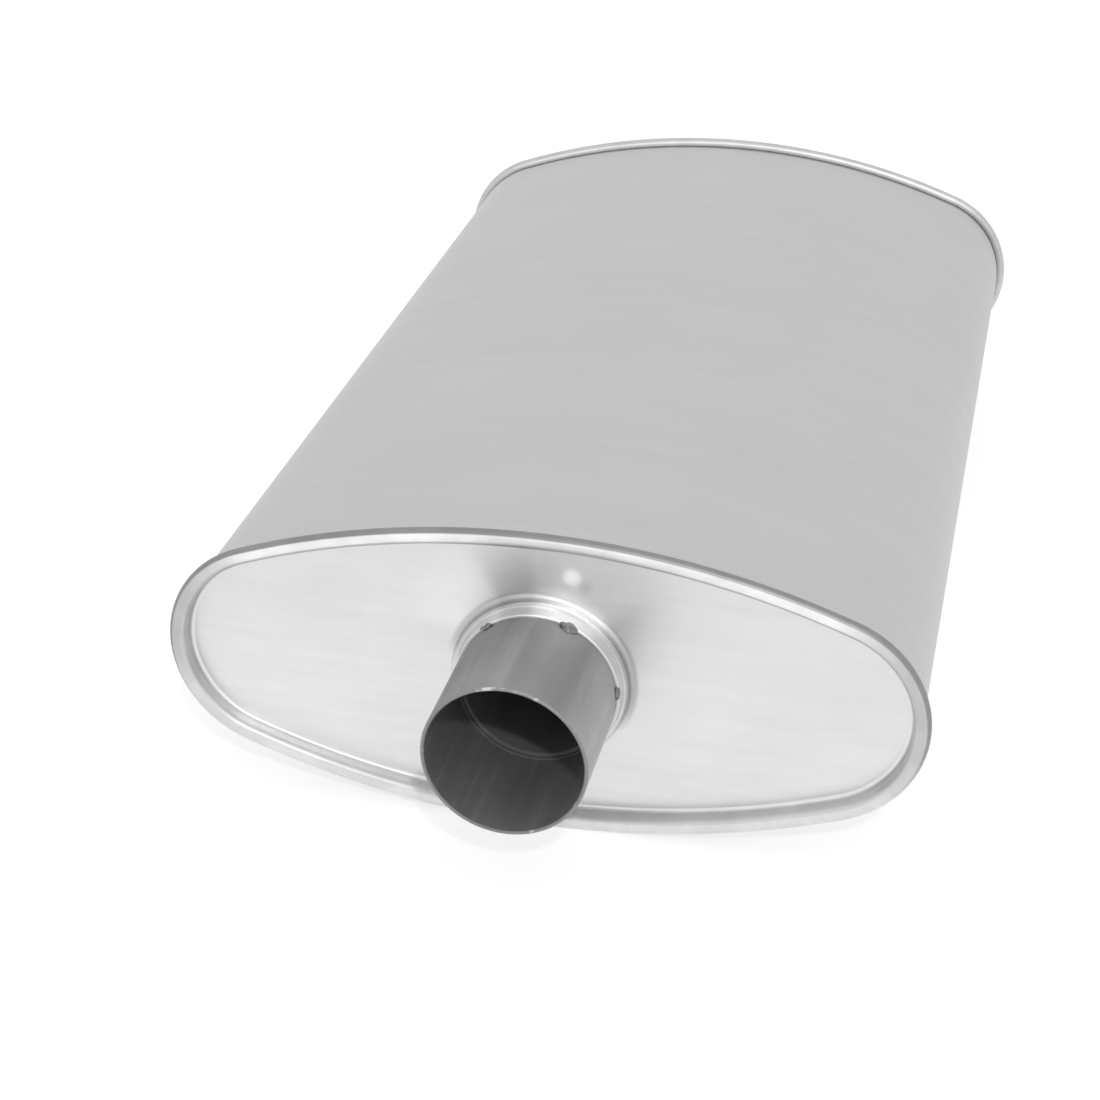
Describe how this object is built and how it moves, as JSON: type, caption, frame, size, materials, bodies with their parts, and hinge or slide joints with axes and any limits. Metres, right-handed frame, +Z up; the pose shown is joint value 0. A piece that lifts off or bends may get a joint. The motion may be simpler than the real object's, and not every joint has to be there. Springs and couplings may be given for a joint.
{
  "type": "oval exhaust muffler",
  "caption": "Oval exhaust muffler with a rolled metal case, folded end seams and a straight round neck in the middle of each end.",
  "frame": {"origin": "middle of the case, which is also the middle of the whole part", "axes": "+Y along the gas flow, from the inlet neck at -Y to the outlet neck at +Y; +Z up, across the thin way of the oval; +X across the wide way"},
  "size_m": [0.2542, 0.5, 0.1102],
  "materials": {
    "shell_sheet": "aluminium-coated steel sheet, even satin grey",
    "head_sheet": "aluminium-coated steel sheet, pale satin with faint streaks",
    "neck_tube": "drawn steel tube, darker satin grey with lengthwise streaks",
    "core_tube": "dull dark grey steel tube",
    "inner_sheet": "dull grey steel sheet",
    "weld": "dark burnt weld metal"
  },
  "bodies": {
    "root": {"outer_shell": "shell_sheet", "inner_wrap": "inner_sheet", "front_head": "head_sheet", "rear_head": "head_sheet", "front_neck": "neck_tube", "rear_neck": "neck_tube", "front_partition": "inner_sheet", "middle_partition": "inner_sheet", "rear_partition": "inner_sheet", "inlet_tube": "core_tube", "outlet_tube": "core_tube", "left_return_tube": "core_tube", "right_return_tube": "core_tube", "left_transfer_tube": "core_tube", "right_transfer_tube": "core_tube", "front_tack_1": "weld", "front_tack_2": "weld", "front_tack_3": "weld", "front_tack_4": "weld", "front_tack_5": "weld", "front_tack_6": "weld", "rear_tack_1": "weld", "rear_tack_2": "weld", "rear_tack_3": "weld", "rear_tack_4": "weld", "rear_tack_5": "weld", "rear_tack_6": "weld"}
  },
  "joints": []
}
